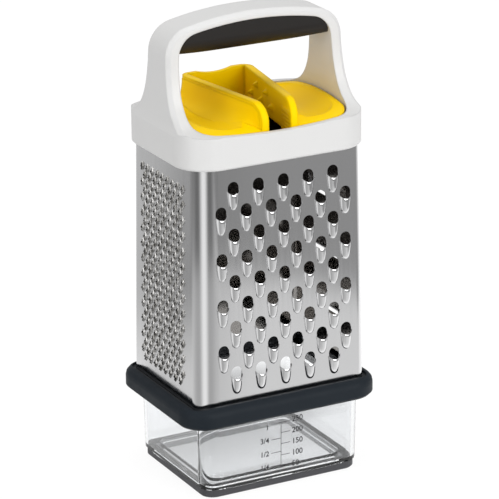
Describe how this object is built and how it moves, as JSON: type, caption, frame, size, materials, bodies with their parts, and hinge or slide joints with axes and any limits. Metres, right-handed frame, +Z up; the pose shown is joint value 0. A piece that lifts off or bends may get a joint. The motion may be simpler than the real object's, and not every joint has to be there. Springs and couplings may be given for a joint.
{
  "type": "box grater",
  "caption": "Four-sided steel box grater with an arched white handle, a yellow food holder on top and a clear measuring container below.",
  "frame": {"origin": "middle of the foot's underside", "axes": "+Z up, -Y towards the coarse face, +X towards the slicing face"},
  "size_m": [0.121, 0.094, 0.2667],
  "materials": {
    "clear_plastic": "gloss",
    "foot_charcoal": "satin",
    "frame_plastic": "matte",
    "soft_charcoal": "matte",
    "brushed_steel": "brushed",
    "white_plastic": "gloss",
    "grip_core_plastic": "matte",
    "grip_rubber": "matte",
    "tray_plastic": "matte",
    "screw_steel": "gloss",
    "yellow_plastic": "gloss"
  },
  "bodies": {
    "container": {"container": "clear_plastic", "container_foot": "foot_charcoal"},
    "grater": {"base_frame": "frame_plastic", "base_ring": "soft_charcoal", "front_left_sheet": "brushed_steel", "back_right_sheet": "brushed_steel", "seam_rivets": "brushed_steel", "handle_housing": "white_plastic", "grip_core": "grip_core_plastic", "soft_grip": "grip_rubber", "storage_tray": "tray_plastic", "tray_screws": "screw_steel"},
    "holder": {"food_holder": "yellow_plastic"}
  },
  "joints": [
    {"name": "grater_lift", "type": "slide", "parent": "container", "child": "grater", "axis": [0, 0, 1], "range_m": [0, 0.08]},
    {"name": "holder_lift", "type": "slide", "parent": "grater", "child": "holder", "axis": [0, 0, 1], "range_m": [0, 0.022]}
  ]
}
